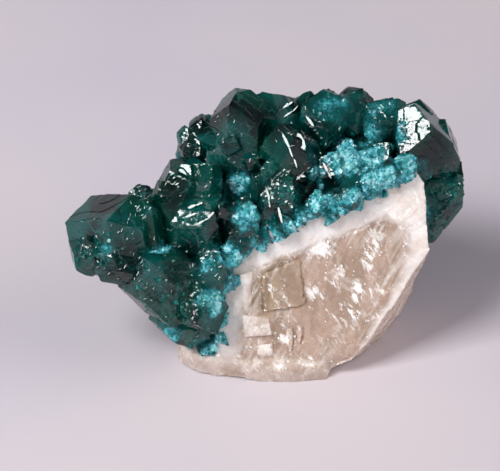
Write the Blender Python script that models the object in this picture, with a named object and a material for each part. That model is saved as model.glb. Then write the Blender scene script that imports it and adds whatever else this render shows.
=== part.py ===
"""A dioptase specimen: deep green dioptase crystals grown together over one side of a pale calcite crystal.

The calcite is a cleaved block that stands on a low foot. Its front face carries a sunken window, a pocket,
two grooves and small raised blocks. The dioptase is one solid: stout six-sided prisms with three-faced ends,
and smaller crystals in the gaps between them and along the calcite's rim.

Lengths are millimetres, and the finished objects are in metres. Most places are given as they are seen when
the specimen is looked down on, at VIEW_TILT above the table: right, up, and out towards the eye, from the
middle of the foot's front edge.
"""

import math
import random
from collections import namedtuple

import bmesh
import bpy
from mathutils import Matrix, Vector
from mathutils.bvhtree import BVHTree

MM = 0.001
VIEW_TILT = math.radians(35)
BLANK_SIZE = 60.0
DOWN = Vector((0, 0, -1))

# The space kept between the two minerals, and how much more of it some crystals leave.
GAP = 0.3
GAP_SPREAD = 0.2
WELD_DISTANCE = 0.002

CALCITE_COLOUR = (0.72, 0.62, 0.53)
CALCITE_ROUGHNESS = 0.45
DIOPTASE_COLOUR = (0.004, 0.10, 0.08)
DIOPTASE_ROUGHNESS = 0.15

# The calcite's front face leans back from a line on the table, just behind the foot's front edge.
FRONT_LEAN = math.radians(20)
FRONT_FOOT = Vector((0, 0.6, 0))
FRONT_NORMAL = Vector((0, -math.cos(FRONT_LEAN), math.sin(FRONT_LEAN)))
FRONT_MIDDLE = (5.0, 9.0)

# Corners of the front face, right and up as seen.
LEFT_LOW = (-5.1, 3.6)
LEFT_HIGH = (-4.0, 11.4)
TOP_LEFT = (-2.4, 13.6)
TOP_RIGHT = (15.1, 21.6)
TOP_TIP = (16.0, 20.4)
RIGHT_CORNER = (16.7, 13.7)
RIGHT_LOW = (9.9, 3.0)
RIGHT_FOOT = (6.6, 1.5)

# Each side starts at an edge of the front face. Its flare, in degrees, widens the block towards the back.
SIDES = {
    "left": (LEFT_LOW, LEFT_HIGH, -10),
    "left_top": (LEFT_HIGH, TOP_LEFT, -12),
    "top": (TOP_LEFT, TOP_RIGHT, -15),
    "tip": (TOP_RIGHT, TOP_TIP, -12),
    "right": (TOP_TIP, RIGHT_CORNER, -16.6),
    "low_right": (RIGHT_CORNER, RIGHT_LOW, 18),
    "low_foot": (RIGHT_LOW, RIGHT_FOOT, 22),
}
BACK = (Vector((0, 15.5, 0)), Vector((-0.12, 1, 0.10)).normalized())
LOW_LEFT_CORNER = (Vector((-5.5, 1.0, 0)), Vector((-0.207, -0.978, 0.08)).normalized())

# The foot's outline on the table, anticlockwise from its left end.
FOOT_OUTLINE = ((-9.4, 6.2), (-9.1, 3.2), (-6.9, 1.3), (-1.7, 0.2), (2.6, 0.0), (6.2, 0.4), (6.9, 3.0))
FOOT_TOP = (Vector((0, 0, 1.9)), Vector((0, -0.12, 1)).normalized())
FOOT_BACK = (Vector((0, 9.0, 0)), Vector((-0.3, 1, 0)).normalized())
FOOT_BATTER = 0.08

# Relief of the front face: outlines as seen, with a depth or a height.
SUNKEN = {
    "window": (((-0.6, 11.8), (12.0, 16.8), (12.5, 9.8), (8.8, 3.9), (-0.8, 3.9)), 0.22),
    "pocket": (((-0.3, 11.0), (3.4, 12.6), (4.0, 8.0), (-0.2, 7.2)), 0.6),
    "left_groove": (((2.2, 5.6), (2.8, 5.6), (2.8, 3.2), (2.3, 3.2)), 0.9),
    "right_groove": (((3.3, 5.8), (3.7, 5.8), (3.6, 3.9), (3.2, 3.9)), 0.9),
}
RAISED = {
    "bright_block": (((-2.5, 7.0), (0.3, 6.7), (0.6, 5.0), (-2.3, 4.7)), 0.40),
    "column": (((-2.3, 9.9), (-1.5, 10.0), (-1.4, 7.2), (-2.3, 7.0)), 0.22),
    "column_head": (((-2.7, 11.2), (-1.4, 11.5), (-1.4, 10.1), (-2.7, 10.0)), 0.30),
    "low_block": (((-0.8, 3.8), (0.6, 4.1), (0.7, 2.8), (-1.0, 2.6)), 0.30),
}
RELIEF_REACH = 2.0

# Dioptase's end faces lean this far from the crystal's long axis, measured at their normals.
END_FACE_POLAR = math.radians(51)

# The girth runs from the axis to a side face. A crystal may be broken away along planes.
Crystal = namedtuple("Crystal", "name place axis girth length turn broken", defaults=((),))

SIDE_BROKEN = (((-9.2, 22.2, 2.5), (0.28, 0.84, 0.47)),)
BRIGHT_BROKEN = (
    ((14.2, 28.1, 3.0), (-0.40, 0.90, 0.10)),
    ((15.8, 27.8, 3.0), (0.70, 0.66, 0.25)),
)

CRYSTALS = (
    # Left: the big block that stands out to the side.
    Crystal("left_block", (-14.8, 14.9, 1.6), (-0.91, 0.25, 0.33), 4.1, 12.6, 16),
    Crystal("left_corner", (-18.1, 13.3, 3.2), (-0.12, 0.97, 0.15), 1.75, 5.4, 12),
    Crystal("left_shelf", (-14.9, 12.2, 3.6), (-0.90, 0.15, 0.30), 1.9, 6.4, 40),
    Crystal("left_neck", (-12.0, 15.6, 3.0), (-0.12, 0.96, 0.22), 1.4, 7.4, 26),
    # Upper left: the one that shows a pale side, and the small ones behind.
    Crystal("side_crystal", (-8.2, 20.7, 1.8), (0.42, 0.86, 0.15), 2.3, 12.0, -45, SIDE_BROKEN),
    Crystal("side_shoulder", (-6.4, 20.0, 2.0), (0.30, 0.80, 0.50), 1.7, 6.4, 20),
    Crystal("back_small", (-8.0, 24.2, -3.4), (-0.22, 0.96, -0.15), 0.8, 5.0, 20),
    Crystal("back_medium", (-6.8, 24.8, -2.8), (0.05, 0.99, -0.10), 1.2, 6.4, 0),
    Crystal("tall_crystal", (-2.9, 25.1, -0.4), (0.07, 0.97, 0.18), 2.75, 11.6, -20),
    # Middle of the top.
    Crystal("top_left", (-0.2, 26.6, -1.6), (0.16, 0.96, 0.00), 2.1, 7.6, 50),
    Crystal("top_dark", (2.2, 27.2, -1.2), (-0.22, 0.92, 0.20), 2.0, 6.8, 10),
    Crystal("top_middle", (4.0, 27.6, -1.8), (0.10, 0.98, 0.10), 1.5, 6.0, 35),
    Crystal("front_striped", (2.9, 22.9, 2.2), (-0.38, 0.86, 0.34), 2.4, 8.6, 24),
    Crystal("top_round", (6.3, 27.3, -0.4), (0.08, 0.93, 0.35), 2.8, 7.6, 62),
    Crystal("top_round_right", (8.7, 27.8, -1.0), (0.12, 0.96, 0.20), 2.0, 6.6, 85),
    Crystal("top_gap", (9.9, 27.4, -1.2), (-0.10, 0.97, 0.15), 1.5, 6.0, 10),
    Crystal("top_right", (12.0, 26.6, -0.8), (0.20, 0.93, 0.25), 2.1, 7.0, 45),
    # Right: the bright-faced crystal, broken at its top, and the rough mass behind it.
    Crystal("right_bright", (15.9, 26.0, 0.6), (-0.08, 0.95, -0.25), 2.9, 11.0, 13, BRIGHT_BROKEN),
    Crystal("right_shoulder", (17.2, 23.4, -1.6), (0.32, 0.94, 0.05), 2.7, 8.4, 20),
    Crystal("right_mass", (17.1, 18.7, -2.4), (0.62, 0.78, 0.05), 2.6, 10.5, 32),
    Crystal("right_inner", (15.6, 20.6, -3.0), (0.20, 0.97, 0.00), 2.8, 9.0, 5),
    # The bright hollow above the calcite's upper edge.
    Crystal("hollow_left", (6.6, 21.4, 1.6), (0.20, 0.80, 0.56), 1.7, 5.6, 40),
    Crystal("hollow_middle", (9.0, 22.2, 2.0), (-0.30, 0.70, 0.64), 1.5, 5.0, 10),
    Crystal("hollow_right", (11.6, 22.6, 2.2), (0.35, 0.75, 0.56), 1.7, 5.4, 25),
    Crystal("hollow_low", (9.6, 19.6, 3.0), (0.10, 0.60, 0.80), 1.6, 4.6, 50),
    # Middle and lower left, beside the calcite.
    Crystal("centre_left", (-6.9, 16.4, 2.8), (0.60, 0.80, 0.00), 2.7, 7.6, 13),
    Crystal("centre_dark", (1.5, 18.9, 2.6), (0.06, 0.93, 0.36), 2.6, 8.0, 25),
    Crystal("centre_teal", (-2.4, 16.7, 3.4), (0.15, 0.84, 0.52), 1.9, 6.2, 55),
    Crystal("low_left", (-10.4, 10.3, 2.8), (-0.72, 0.66, 0.22), 3.3, 11.0, 12),
    Crystal("low_mid", (-7.2, 8.2, 3.0), (0.56, -0.80, 0.22), 2.3, 8.0, 28),
    Crystal("low_right", (-5.4, 11.2, 3.0), (0.10, 0.96, 0.30), 1.6, 6.4, 28),
    Crystal("low_flake", (-9.7, 6.1, 1.8), (-0.70, 0.70, 0.05), 1.2, 5.6, 10),
    # Behind: the mass that the front ones stand on, and the back's own crystals.
    Crystal("core_left", (-8.0, 15.0, -2.0), (-0.90, 0.30, -0.20), 4.4, 15.0, 0),
    Crystal("core_middle", (0.5, 21.0, -3.4), (0.95, 0.30, 0.00), 4.6, 17.0, 10),
    Crystal("core_right", (10.4, 22.3, -3.4), (0.96, 0.16, -0.06), 4.2, 15.0, 48),
    Crystal("back_left", (-4.0, 21.0, -8.0), (-0.40, 0.35, -0.85), 3.0, 9.0, 15),
    Crystal("back_middle", (4.0, 23.5, -8.5), (0.10, 0.45, -0.88), 3.4, 9.5, 0),
    Crystal("back_right", (11.6, 22.0, -8.0), (0.35, 0.20, -0.90), 3.2, 9.0, 25),
    Crystal("back_top_left", (-6.3, 23.6, -5.5), (-0.30, 0.80, -0.50), 2.0, 6.5, 35),
    Crystal("back_top_middle", (0.5, 25.8, -6.0), (0.10, 0.85, -0.50), 2.2, 7.0, 5),
    Crystal("back_top_right", (7.6, 25.8, -6.0), (0.25, 0.80, -0.55), 2.0, 6.5, 50),
    Crystal("back_far_left", (-10.8, 17.6, -4.6), (-0.70, 0.30, -0.65), 2.4, 7.5, 15),
    Crystal("back_far_right", (15.3, 22.6, -6.0), (0.60, 0.50, -0.60), 2.2, 7.0, 40),
    Crystal("under_left", (-11.4, 11.9, -1.0), (-0.30, -0.80, -0.50), 2.2, 6.5, 20),
    Crystal("under_back", (-7.6, 14.6, -6.0), (-0.20, -0.50, -0.85), 2.3, 7.0, 45),
)

# Small crystals stand in the gaps between the big ones, but not on the very top.
SMALL_SEED = 16
SMALL_COUNT = 60
SMALL_TRIES = 20000
SMALL_GIRTH = (0.6, 1.2)
SMALL_LENGTH = (2.6, 3.8)
SMALL_SWAY = 0.4
SMALL_SUNK = 0.45
SMALL_CEILING = 22.5
SMALL_APART = 0.9
GAP_REACH = 1.8
GAP_SHARE = 0.8
MASS_MIDDLE = (0.5, 19.0, -3.0)
MASS_HALF = (14, 7, 6)

# Others overlap the calcite's rim, from low on its left to high on its right: by turns a larger one set back
# from the edge, and a smaller one on it.
RIM_SEED = 9
RIM_PATH = (LEFT_LOW, LEFT_HIGH, TOP_LEFT, TOP_RIGHT)
RIM_SPACING = 1.0
RIM_ROWS = (((1.0, 1.5), 0.75), ((0.6, 1.0), -0.15))
RIM_SPREAD = 0.2
RIM_LIFT = (-0.2, 0.3)
RIM_LENGTH = (2.6, 3.4)
RIM_SWAY = 0.6


def seen(right, up, out):
    """A place or a direction, given as it is seen, in the specimen's own axes."""
    sine, cosine = math.sin(VIEW_TILT), math.cos(VIEW_TILT)
    return Vector((right, up * sine - out * cosine, up * cosine + out * sine))


def on_front(point):
    """The point of the calcite's front face that is seen at (right, up)."""
    sight = seen(0, 0, 1)
    start = seen(point[0], point[1], 0)
    return start - sight * ((start - FRONT_FOOT).dot(FRONT_NORMAL) / sight.dot(FRONT_NORMAL))


def away_from(middle, start, end):
    """The direction in the front face that is square to an edge and points away from the middle."""
    outward = (end - start).cross(FRONT_NORMAL).normalized()
    if outward.dot(start - middle) < 0:
        outward.negate()
    return outward


def shave(form, point, normal):
    """Cuts off what lies beyond a plane and closes the new face."""
    everything = form.verts[:] + form.edges[:] + form.faces[:]
    cut = bmesh.ops.bisect_plane(
        form, geom=everything, plane_co=point, plane_no=normal, clear_outer=True, dist=1e-6
    )
    rim = [item for item in cut["geom_cut"] if isinstance(item, bmesh.types.BMEdge)]
    if rim:
        bmesh.ops.contextual_create(form, geom=rim)


def convex_form(planes, grow=0.0):
    """The space behind a set of planes, with every face moved outwards by grow."""
    form = bmesh.new()
    bmesh.ops.create_cube(form, size=BLANK_SIZE)
    for point, normal in planes:
        shave(form, point + normal * grow, normal)
    return form


def make_object(name, form, collection, helper=False):
    """Turns a form in millimetres into an object in metres."""
    bmesh.ops.triangulate(form, faces=form.faces[:])
    bmesh.ops.recalc_face_normals(form, faces=form.faces[:])
    bmesh.ops.scale(form, vec=(MM, MM, MM), verts=form.verts[:])
    mesh = bpy.data.meshes.new(name)
    form.to_mesh(mesh)
    form.free()
    made = bpy.data.objects.new(name, mesh)
    collection.objects.link(made)
    if helper:
        made.hide_render = True
        made.display_type = "WIRE"
    return made


def add_boolean(target, operation, operand):
    modifier = target.modifiers.new(operation.title(), "BOOLEAN")
    modifier.operation = operation
    modifier.solver = "EXACT"
    if isinstance(operand, bpy.types.Collection):
        modifier.operand_type = "COLLECTION"
        modifier.collection = operand
    else:
        modifier.object = operand


# Calcite


def side_plane(name):
    """A point and the outward normal of one of the block's sides."""
    start, end, flare = SIDES[name]
    a, b = on_front(start), on_front(end)
    outward = away_from(on_front(FRONT_MIDDLE), a, b)
    lean = math.radians(flare)
    return (a + b) / 2, outward * math.cos(lean) + FRONT_NORMAL * math.sin(lean)


def block_planes():
    planes = [(FRONT_FOOT, FRONT_NORMAL), BACK, (Vector(), DOWN)]
    planes += [side_plane(name) for name in SIDES]
    planes.append(LOW_LEFT_CORNER)
    return planes


def foot_planes():
    places = [Vector((x, y, 0)) for x, y in FOOT_OUTLINE]
    planes = [FOOT_TOP, FOOT_BACK, (Vector(), DOWN)]
    for start, end in zip(places, places[1:]):
        outward = (end - start).cross(-DOWN).normalized()
        planes.append((start, (outward - DOWN * FOOT_BATTER).normalized()))
    return planes


def cleavage_step(side, depth, border, toward):
    """What a step takes away: a layer of the given depth off one side, beyond a border."""
    point, normal = side
    return convex_form([(point - normal * depth, -normal), (border, -toward)])


def cleavage_steps():
    """Layers split off the sides and the back."""
    low_right = side_plane("low_right")
    along_edge = Vector((-0.45, -0.2, -0.87))
    return {
        "side_step": cleavage_step(low_right, 0.15, seen(14.4, 7.6, -1.5), along_edge),
        "low_side_step": cleavage_step(low_right, 0.3, seen(13.0, 3.6, -3.0), along_edge),
        "right_step": cleavage_step(side_plane("right"), 0.6, Vector((14, 10.5, 14)), BACK[1]),
        "back_step": cleavage_step(BACK, 1.3, Vector((3.5, 15, 9)), side_plane("left")[1]),
        "low_back_step": cleavage_step(BACK, 2.4, Vector((2.0, 15, 5.2)), -side_plane("top")[1]),
    }


def face_slab(corners, low, high):
    """A straight-sided slab over a convex outline on the front face, from low to high along its normal."""
    places = [on_front(corner) for corner in corners]
    middle = sum(places, Vector()) / len(places)
    planes = [(middle + FRONT_NORMAL * high, FRONT_NORMAL), (middle + FRONT_NORMAL * low, -FRONT_NORMAL)]
    for start, end in zip(places, places[1:] + places[:1]):
        planes.append((start, away_from(middle, start, end)))
    return convex_form(planes)


def build_calcite(parts, helpers):
    calcite = make_object("calcite_matrix", convex_form(block_planes()), parts)
    for name, form in cleavage_steps().items():
        add_boolean(calcite, "DIFFERENCE", make_object(name, form, helpers, helper=True))
    foot = make_object("foot_ledge", convex_form(foot_planes()), helpers, helper=True)
    add_boolean(calcite, "UNION", foot)
    for name, (corners, depth) in SUNKEN.items():
        cutter = make_object(name, face_slab(corners, -depth, RELIEF_REACH), helpers, helper=True)
        add_boolean(calcite, "DIFFERENCE", cutter)
    for name, (corners, height) in RAISED.items():
        ridge = make_object(name, face_slab(corners, -RELIEF_REACH, height), helpers, helper=True)
        add_boolean(calcite, "UNION", ridge)
    return calcite


# Dioptase


def in_own_axes(crystal):
    """A crystal whose places were given as seen, turned into the specimen's own axes."""
    broken = tuple((seen(*point), seen(*normal).normalized()) for point, normal in crystal.broken)
    return crystal._replace(place=seen(*crystal.place), axis=seen(*crystal.axis).normalized(), broken=broken)


def crystal_form(crystal):
    """A six-sided prism, ended at each end by three faces that sit over every second edge.

    At turn 0 one of its edges looks at the eye.
    """
    form = bmesh.new()
    corner_radius = crystal.girth / math.cos(math.pi / 6)
    bmesh.ops.create_cone(
        form, cap_ends=True, segments=6, radius1=corner_radius, radius2=corner_radius,
        depth=crystal.length, matrix=Matrix.Rotation(math.pi / 6, 4, "Z"),
    )
    for end in (1, -1):
        peak = Vector((0, 0, end * crystal.length / 2))
        for third in range(3):
            around = math.radians(120 * third + (60 if end > 0 else 0))
            level = Vector((math.cos(around), math.sin(around), 0))
            tilted = level * math.sin(END_FACE_POLAR) + peak.normalized() * math.cos(END_FACE_POLAR)
            shave(form, peak, tilted)
    sight = seen(0, 0, 1)
    toward = (sight - crystal.axis * sight.dot(crystal.axis)).normalized()
    upright = Matrix((toward, crystal.axis.cross(toward), crystal.axis)).transposed().to_4x4()
    turned = upright @ Matrix.Rotation(math.radians(crystal.turn), 4, "Z")
    form.transform(Matrix.Translation(crystal.place) @ turned)
    for point, normal in crystal.broken:
        shave(form, point, normal)
    return form


def find_surface(forms):
    """A search tree over the outsides of a set of forms."""
    points, faces = [], []
    for form in forms:
        first = len(points)
        points += [vertex.co.copy() for vertex in form.verts]
        faces += [[first + vertex.index for vertex in face.verts] for face in form.faces]
    return BVHTree.FromPolygons(points, faces)


def swayed(rng, direction, amount):
    return (direction + Vector([rng.gauss(0, amount) for _ in range(3)])).normalized()


def small_crystals(forms):
    """Small crystals in the gaps between the big ones."""
    rng = random.Random(SMALL_SEED)
    surface = find_surface(forms)
    block = find_surface([convex_form(block_planes())])
    found = []
    for _ in range(SMALL_TRIES):
        if len(found) == SMALL_COUNT:
            break
        direction = Vector([rng.gauss(0, 1) for _ in range(3)]).normalized()
        aim = seen(*MASS_MIDDLE) + Vector([rng.uniform(-half, half) for half in MASS_HALF])
        place, normal, _, _ = surface.ray_cast(aim + direction * BLANK_SIZE, -direction)
        girth = rng.uniform(*SMALL_GIRTH)
        if place is None or normal.dot(direction) < 0.1 or normal.z < -0.3 or place.z > SMALL_CEILING:
            continue
        lift = girth * GAP_REACH
        if surface.find_nearest(place + normal * lift)[3] > lift * GAP_SHARE:
            continue
        if block.find_nearest(place)[3] < girth:
            continue
        if any((place - other.place).length < (girth + other.girth) * SMALL_APART for other in found):
            continue
        sunk = place - normal * girth * SMALL_SUNK
        axis = swayed(rng, normal, SMALL_SWAY)
        length = girth * rng.uniform(*SMALL_LENGTH)
        name = f"small_{len(found) + 1:02d}"
        found.append(Crystal(name, sunk, axis, girth, length, rng.uniform(0, 120)))
    return found


def rim_crystals():
    """Small crystals along the calcite's rim that reach just in front of its face."""
    rng = random.Random(RIM_SEED)
    middle = on_front(FRONT_MIDDLE)
    found = []
    for start, end in zip(RIM_PATH, RIM_PATH[1:]):
        a, b = on_front(start), on_front(end)
        steps = round((b - a).length / RIM_SPACING)
        for step in range(steps):
            girths, set_back = RIM_ROWS[step % 2]
            girth = rng.uniform(*girths)
            along = a.lerp(b, (step + rng.random()) / steps)
            across = away_from(middle, a, b) * rng.gauss(set_back, RIM_SPREAD)
            place = along + across + FRONT_NORMAL * rng.uniform(*RIM_LIFT)
            axis = swayed(rng, FRONT_NORMAL, RIM_SWAY)
            length = girth * rng.uniform(*RIM_LENGTH)
            name = f"rim_{len(found) + 1:02d}"
            found.append(Crystal(name, place, axis, girth, length, rng.uniform(0, 120)))
    return found


def crosses(form, planes):
    """Whether a form may reach behind all of a set of planes, or come close to it."""
    return all(
        any((vertex.co - point).dot(normal) < 2 * GAP for vertex in form.verts) for point, normal in planes
    )


def crystal_to_join(name, form, gap, growth, helpers):
    """A crystal, cut back wherever it comes closer to the calcite than the gap."""
    rooms = {"block": block_planes(), "foot": foot_planes()}
    close = [label for label, planes in rooms.items() if crosses(form, planes)]
    made = make_object(name, form, growth, helper=True)
    for label in close:
        room = make_object(f"{name}_clear_of_{label}", convex_form(rooms[label], gap), helpers, helper=True)
        add_boolean(made, "DIFFERENCE", room)


def keep_largest_body(thing):
    """Applies an object's modifiers and drops the crumbs that the cuts leave loose."""
    form = bmesh.new()
    form.from_object(thing, bpy.context.evaluated_depsgraph_get())
    unseen = set(form.verts)
    bodies = []
    while unseen:
        body = {unseen.pop()}
        front = list(body)
        while front:
            vertex = front.pop()
            beside = {edge.other_vert(vertex) for edge in vertex.link_edges} & unseen
            unseen -= beside
            body |= beside
            front += beside
        bodies.append(body)
    bodies.sort(key=len)
    crumbs = [vertex for body in bodies[:-1] for vertex in body]
    bmesh.ops.delete(form, geom=crumbs, context="VERTS")
    thing.modifiers.clear()
    form.to_mesh(thing.data)
    form.free()


def build_dioptase(parts, growth, helpers):
    """All the crystals in one solid, which clears the calcite."""
    rng = random.Random(SMALL_SEED)
    big = [in_own_axes(crystal) for crystal in CRYSTALS]
    forms = [crystal_form(crystal) for crystal in big]
    fillers = small_crystals(forms) + rim_crystals()
    forms += [crystal_form(crystal) for crystal in fillers]
    for crystal, form in zip(big[1:] + fillers, forms[1:]):
        crystal_to_join(crystal.name, form, GAP + rng.uniform(0, GAP_SPREAD), growth, helpers)
    dioptase = make_object("dioptase_crystals", forms[0], parts)
    add_boolean(dioptase, "UNION", growth)
    weld = dioptase.modifiers.new("Weld", "WELD")
    weld.merge_threshold = WELD_DISTANCE * MM
    keep_largest_body(dioptase)
    return dioptase


# Assembly


def surface_material(name, colour, roughness):
    material = bpy.data.materials.new(name)
    material.use_nodes = True
    shader = material.node_tree.nodes["Principled BSDF"]
    shader.inputs["Base Color"].default_value = (*colour, 1.0)
    shader.inputs["Roughness"].default_value = roughness
    shader.inputs["Metallic"].default_value = 0.0
    return material


def new_collection(name):
    made = bpy.data.collections.new(name)
    bpy.context.scene.collection.children.link(made)
    return made


def hang_on_origin(pieces):
    """Parents everything to an empty, so that the parts stand on the origin by the centre of their base."""
    graph = bpy.context.evaluated_depsgraph_get()
    corners = [Vector(corner) for piece in pieces for corner in piece.evaluated_get(graph).bound_box]
    low = Vector([min(corner[axis] for corner in corners) for axis in range(3)])
    high = Vector([max(corner[axis] for corner in corners) for axis in range(3)])
    origin = bpy.data.objects.new("specimen_origin", None)
    bpy.context.scene.collection.objects.link(origin)
    origin.location = (-(low.x + high.x) / 2, -(low.y + high.y) / 2, -low.z)
    for thing in bpy.data.objects:
        if thing != origin:
            thing.parent = origin


def main():
    for left_over in list(bpy.data.objects):
        bpy.data.objects.remove(left_over)
    parts = new_collection("dioptase_specimen")
    helpers = new_collection("cutters")
    growth = new_collection("crystals_to_join")
    calcite = build_calcite(parts, helpers)
    dioptase = build_dioptase(parts, growth, helpers)
    calcite.data.materials.append(surface_material("calcite", CALCITE_COLOUR, CALCITE_ROUGHNESS))
    dioptase.data.materials.append(surface_material("dioptase", DIOPTASE_COLOUR, DIOPTASE_ROUGHNESS))
    hang_on_origin([calcite, dioptase])


main()
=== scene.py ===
"""Dresses the dioptase specimen: worn, stepped and crushed crystal faces, tiny crystals, thin plates that
catch the light, and milky calcite.

Lengths are millimetres in the frame's own axes, and the finished meshes are in metres. A place given as
seen is (right, up) across the camera's view, measured from the middle of the foot's front edge.
"""

import math
import random
from collections import namedtuple

import bmesh
import bpy
import numpy as np
from mathutils import Matrix, Vector, noise
from mathutils.bvhtree import BVHTree

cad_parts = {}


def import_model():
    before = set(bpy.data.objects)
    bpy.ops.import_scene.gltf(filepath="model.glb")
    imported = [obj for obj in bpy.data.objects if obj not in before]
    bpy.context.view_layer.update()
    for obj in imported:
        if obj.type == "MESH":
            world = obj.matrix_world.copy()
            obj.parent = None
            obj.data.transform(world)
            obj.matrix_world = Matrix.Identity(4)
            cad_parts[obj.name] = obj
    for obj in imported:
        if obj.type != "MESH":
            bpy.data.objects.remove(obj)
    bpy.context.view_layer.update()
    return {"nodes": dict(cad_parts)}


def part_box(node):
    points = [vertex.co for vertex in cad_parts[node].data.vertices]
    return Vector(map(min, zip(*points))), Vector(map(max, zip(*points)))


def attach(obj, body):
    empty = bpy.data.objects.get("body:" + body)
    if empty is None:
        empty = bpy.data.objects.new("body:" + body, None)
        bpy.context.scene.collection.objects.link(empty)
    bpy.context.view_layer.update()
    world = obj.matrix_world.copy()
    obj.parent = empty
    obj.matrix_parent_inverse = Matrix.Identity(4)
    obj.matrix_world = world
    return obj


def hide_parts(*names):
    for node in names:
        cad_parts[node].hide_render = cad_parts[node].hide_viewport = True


MM = 0.001
CALCITE = "calcite_matrix"
DIOPTASE = "dioptase_crystals"

# The view: how steeply it looks down, how far off it is, what it looks at as seen, and its width there.
VIEW_TILT = math.radians(35)
VIEW_DISTANCE = 320.0
VIEW_TARGET = (-1.65, 15.1)
VIEW_WIDTH = 51.5
SENSOR_WIDTH = 36.0

# How far in front of the foot's edge a line of sight starts when it looks for what it meets.
SIGHT_START = 60.0

# The calcite's right-hand end, measured from the middle of the foot's front edge, and its front face.
CALCITE_RIGHT_END = 16.7
FRONT_LEAN = math.radians(20)
FRONT_FOOT = Vector((0, 0.6, 0))
FRONT_NORMAL = Vector((0, -math.cos(FRONT_LEAN), math.sin(FRONT_LEAN)))

# The corners of the window in the calcite's front face, right and up as seen.
WINDOW = (
    (-1.1, 11.7),
    (12.3, 17.0),
    (14.1, 16.1),
    (14.9, 13.4),
    (12.2, 7.5),
    (8.9, 2.0),
    (-3.0, 1.2),
    (-2.6, 7.4),
)

# The depth that the window's pocket and grooves are filled up to, and where its tan corner ends as seen.
DEEPEST_GROOVE = 0.12
TAN_RIGHT = 2.6
TAN_LOW = 7.3

# The calcite's foot, its low cleavage steps, its wear, and the turn of the lines along its lower edge.
FOOT_HEIGHT = 2.8
CALCITE_STEP = 0.06
CALCITE_WEAR_ROUNDS = 3
CALCITE_WEAR_SHARE = 0.3
SOFT_ROUNDS = 14
LOWER_EDGE_TURN = math.radians(29)

# How finely the remesher divides space, and how wide the faces of the fine surfaces are.
REMESH_DEPTH = 8
DIOPTASE_CELL = 0.24
CALCITE_CELL = 0.26

# Dioptase nearer to the calcite than the reach is drawn onto it, and sinks into it.
CONTACT_REACH = 0.75
CONTACT_SINK = 0.06

# Where the dioptase is crushed to turquoise: right and up as seen, radius, strength.
TURQUOISE_ZONES = (
    (8.1, 22.4, 2.6, 1.0),
    (10.7, 22.4, 2.4, 1.0),
    (13.3, 22.9, 2.0, 1.0),
    (5.6, 18.9, 2.4, 0.9),
    (8.7, 19.5, 2.2, 0.9),
    (11.2, 20.8, 2.2, 1.0),
    (14.3, 22.4, 1.8, 0.9),
    (4.6, 21.0, 1.6, 0.8),
    (13.6, 25.4, 1.8, 0.8),
    (7.5, 24.9, 2.4, 0.5),
    (11.0, 25.3, 2.4, 0.5),
    (-2.4, 20.3, 1.8, 0.9),
    (-4.4, 19.0, 1.5, 0.6),
    (-2.0, 16.7, 2.0, 0.7),
    (-3.5, 13.2, 2.0, 1.0),
    (-5.6, 12.2, 1.6, 0.6),
    (0.6, 15.2, 2.0, 0.7),
    (2.5, 16.4, 2.0, 0.8),
    (-10.7, 13.7, 1.6, 0.7),
    (-9.9, 5.4, 1.8, 0.6),
    (-7.3, 4.8, 2.2, 1.0),
    (-5.8, 3.8, 2.4, 1.0),
    (-5.3, 8.4, 2.0, 0.9),
    (-16.2, 13.8, 1.6, 0.35),
    (6.9, 28.5, 2.6, 0.4),
    (11.7, 28.0, 2.2, 0.4),
)

# Where it is rough and dark, given in the same way.
CRUSHED_ZONES = (
    (-18.9, 11.2, 1.6, 0.7),
    (-13.0, 11.0, 3.0, 0.5),
    (18.8, 19.8, 4.0, 0.8),
    (17.9, 16.2, 3.0, 0.8),
    (-9.9, 8.4, 4.5, 0.7),
    (-6.8, 8.4, 3.0, 0.7),
    (-17.1, 13.6, 3.0, 0.9),
    (2.0, 18.7, 3.0, 0.8),
    (16.0, 18.4, 2.0, 0.6),
    (-13.1, 20.1, 1.5, 1.0),
    (-7.6, 17.2, 2.2, 0.7),
)

# Where shade is painted on the crystals as a darker green, given in the same way.
SHADE_ZONES = (
    (3.6, 24.6, 3.0, 1.0),
    (4.4, 20.6, 2.4, 1.0),
    (-3.2, 28.2, 2.6, 0.8),
    (1.4, 17.6, 2.0, 0.9),
    (-9.0, 19.6, 2.4, 0.8),
    (-17.0, 18.0, 2.4, 0.8),
    (-13.6, 13.4, 2.4, 0.8),
    (-8.6, 11.4, 2.4, 0.6),
    (9.4, 25.2, 2.4, 0.6),
    (17.8, 22.2, 3.0, 0.6),
)

# Where the window has clouds of white flecks, given in the same way.
WHITE_ZONES = (
    (8.1, 6.6, 2.4, 0.5),
    (6.2, 4.6, 1.8, 0.4),
    (5.6, 13.9, 1.2, 1.0),
    (4.7, 9.2, 1.2, 0.8),
    (9.2, 9.5, 1.4, 0.8),
    (11.0, 14.8, 1.3, 0.6),
    (7.6, 11.3, 1.2, 0.7),
    (10.4, 12.4, 1.3, 0.7),
    (2.0, 4.5, 1.0, 0.8),
    (4.7, 2.8, 1.1, 0.7),
    (8.0, 6.4, 1.4, 0.6),
)

# Where the calcite is stained turquoise, given in the same way.
STAIN_ZONES = (
    (-9.3, 4.9, 1.2, 0.9),
    (-7.6, 3.9, 1.1, 0.8),
    (-5.4, 4.6, 1.3, 0.8),
    (-5.2, 6.6, 1.1, 0.6),
    (-4.6, 9.6, 1.0, 0.5),
)

# Where the dioptase lies on the calcite as a low crust, given in the same way, and the share of its distance
# from the calcite that it loses there.
CRUST_ZONES = (
    (-6.4, 4.4, 3.0, 1.0),
)
CRUST_SQUEEZE = 0.8

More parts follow.
